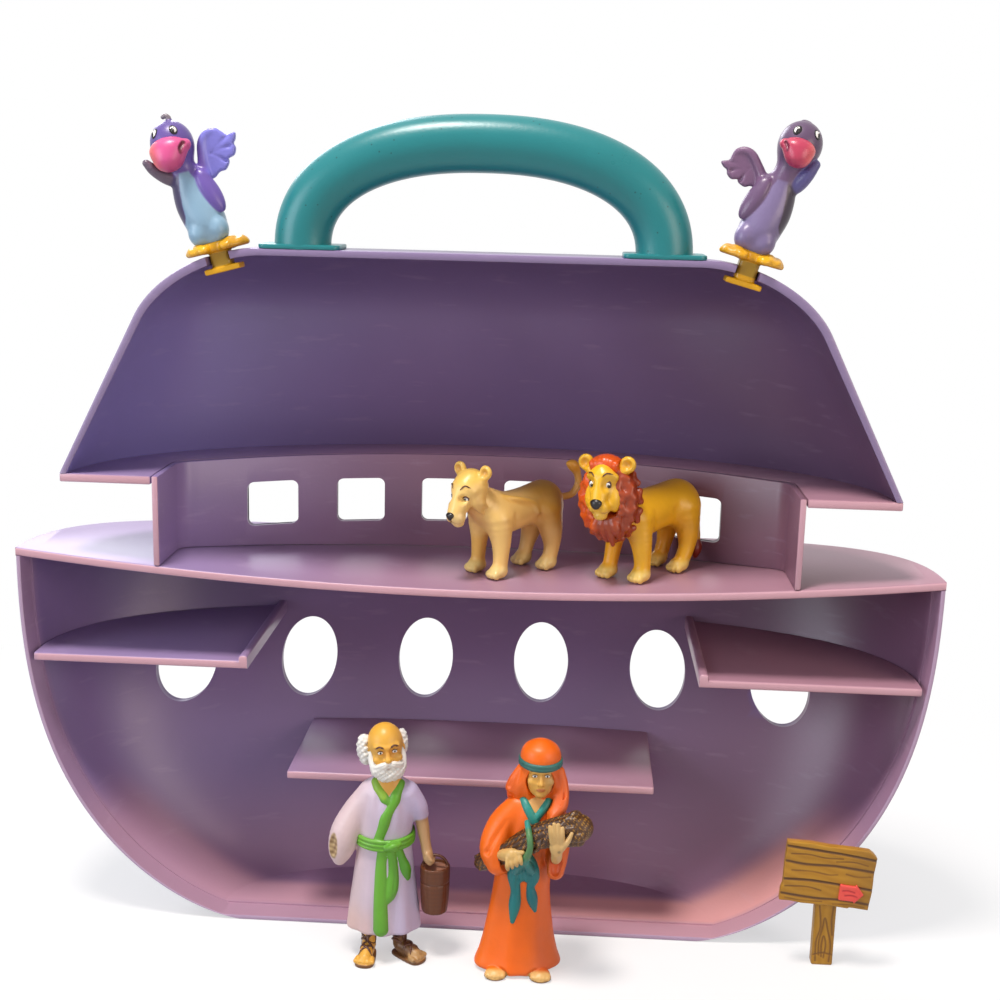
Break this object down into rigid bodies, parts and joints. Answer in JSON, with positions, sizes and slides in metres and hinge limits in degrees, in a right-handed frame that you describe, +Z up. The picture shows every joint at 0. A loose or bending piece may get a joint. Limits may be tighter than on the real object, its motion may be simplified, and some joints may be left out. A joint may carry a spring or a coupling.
{
  "type": "toy ark play set",
  "caption": "Open half shell of a toy ark with decks, cabin and carry handle, clip-on birds, lion, lioness, robed man and woman and a signpost.",
  "frame": {"origin": "middle of the front edge of the hull's flat bottom, on the plane of the open side", "axes": "+X along the ark to the viewer's right, -Y out of the open side, +Z up"},
  "size_m": [0.328, 0.1315, 0.2946],
  "materials": {
    "shell_purple": "semi-gloss moulded plastic",
    "trim_lilac": "semi-gloss moulded plastic",
    "handle_teal": "glossy moulded plastic",
    "clip_gold": "glossy moulded plastic",
    "bird_purple": "semi-gloss painted vinyl",
    "bill_pink": "semi-gloss painted vinyl",
    "lion_gold": "semi-gloss painted vinyl",
    "mane_rust": "semi-gloss painted vinyl",
    "lioness_tan": "semi-gloss painted vinyl",
    "robe_lilac": "satin painted vinyl",
    "skin_ochre": "satin painted vinyl",
    "beard_white": "satin painted vinyl",
    "sash_green": "satin painted vinyl",
    "brown_paint": "satin painted vinyl",
    "robe_orange": "satin painted vinyl",
    "sash_teal": "satin painted vinyl",
    "sign_olive": "satin painted vinyl",
    "arrow_red": "satin painted vinyl"
  },
  "bodies": {
    "ark": {"hull_shell": "shell_purple", "main_deck": "trim_lilac", "left_shelf": "trim_lilac", "right_shelf": "trim_lilac", "lower_shelf": "trim_lilac", "cabin_wall": "trim_lilac", "eave_ledge": "trim_lilac", "roof_shell": "shell_purple", "carry_handle": "handle_teal"},
    "left_bird": {"left_bird_clip": "clip_gold", "left_bird_body": "bird_purple", "left_bird_bill": "bill_pink"},
    "right_bird": {"right_bird_clip": "clip_gold", "right_bird_body": "bird_purple", "right_bird_bill": "bill_pink"},
    "lion": {"lion_body": "lion_gold", "lion_head": "lion_gold", "lion_mane": "mane_rust"},
    "lioness": {"lioness_body": "lioness_tan", "lioness_head": "lioness_tan"},
    "man": {"man_robe": "robe_lilac", "man_head": "skin_ochre", "man_beard": "beard_white", "man_sash": "sash_green", "man_sandals": "brown_paint", "man_bucket": "brown_paint"},
    "woman": {"woman_robe": "robe_orange", "woman_head": "skin_ochre", "woman_head_cloth": "robe_orange", "woman_headband": "sash_teal", "woman_sash": "sash_teal", "woman_hands": "skin_ochre", "stick_bundle": "brown_paint"},
    "sign": {"sign_post": "sign_olive", "sign_board": "sign_olive", "sign_arrow": "arrow_red"}
  },
  "joints": [
    {"name": "left_bird_swivel", "type": "hinge", "parent": "ark", "child": "left_bird", "pos_m": [-0.0898, 0.006, 0.24588], "axis": [-0.2626, 0, 0.9649], "range_deg": [-30, 30]},
    {"name": "right_bird_swivel", "type": "hinge", "parent": "ark", "child": "right_bird", "pos_m": [0.0898, 0.006, 0.24588], "axis": [0.2626, 0, 0.9649], "range_deg": [-30, 30]},
    {"name": "lion_slide", "type": "slide", "parent": "ark", "child": "lion", "axis": [0, -1, 0], "range_m": [0, 0.06]},
    {"name": "lioness_slide", "type": "slide", "parent": "ark", "child": "lioness", "axis": [-0.7633, -0.6402, 0.087], "range_m": [0, 0.06]},
    {"name": "man_lift", "type": "slide", "parent": "ark", "child": "man", "axis": [0, 0, 1], "range_m": [0, 0.035]},
    {"name": "woman_lift", "type": "slide", "parent": "ark", "child": "woman", "axis": [0, 0, 1], "range_m": [0, 0.035]},
    {"name": "sign_lift", "type": "slide", "parent": "ark", "child": "sign", "axis": [0, 0, 1], "range_m": [0, 0.035]}
  ]
}
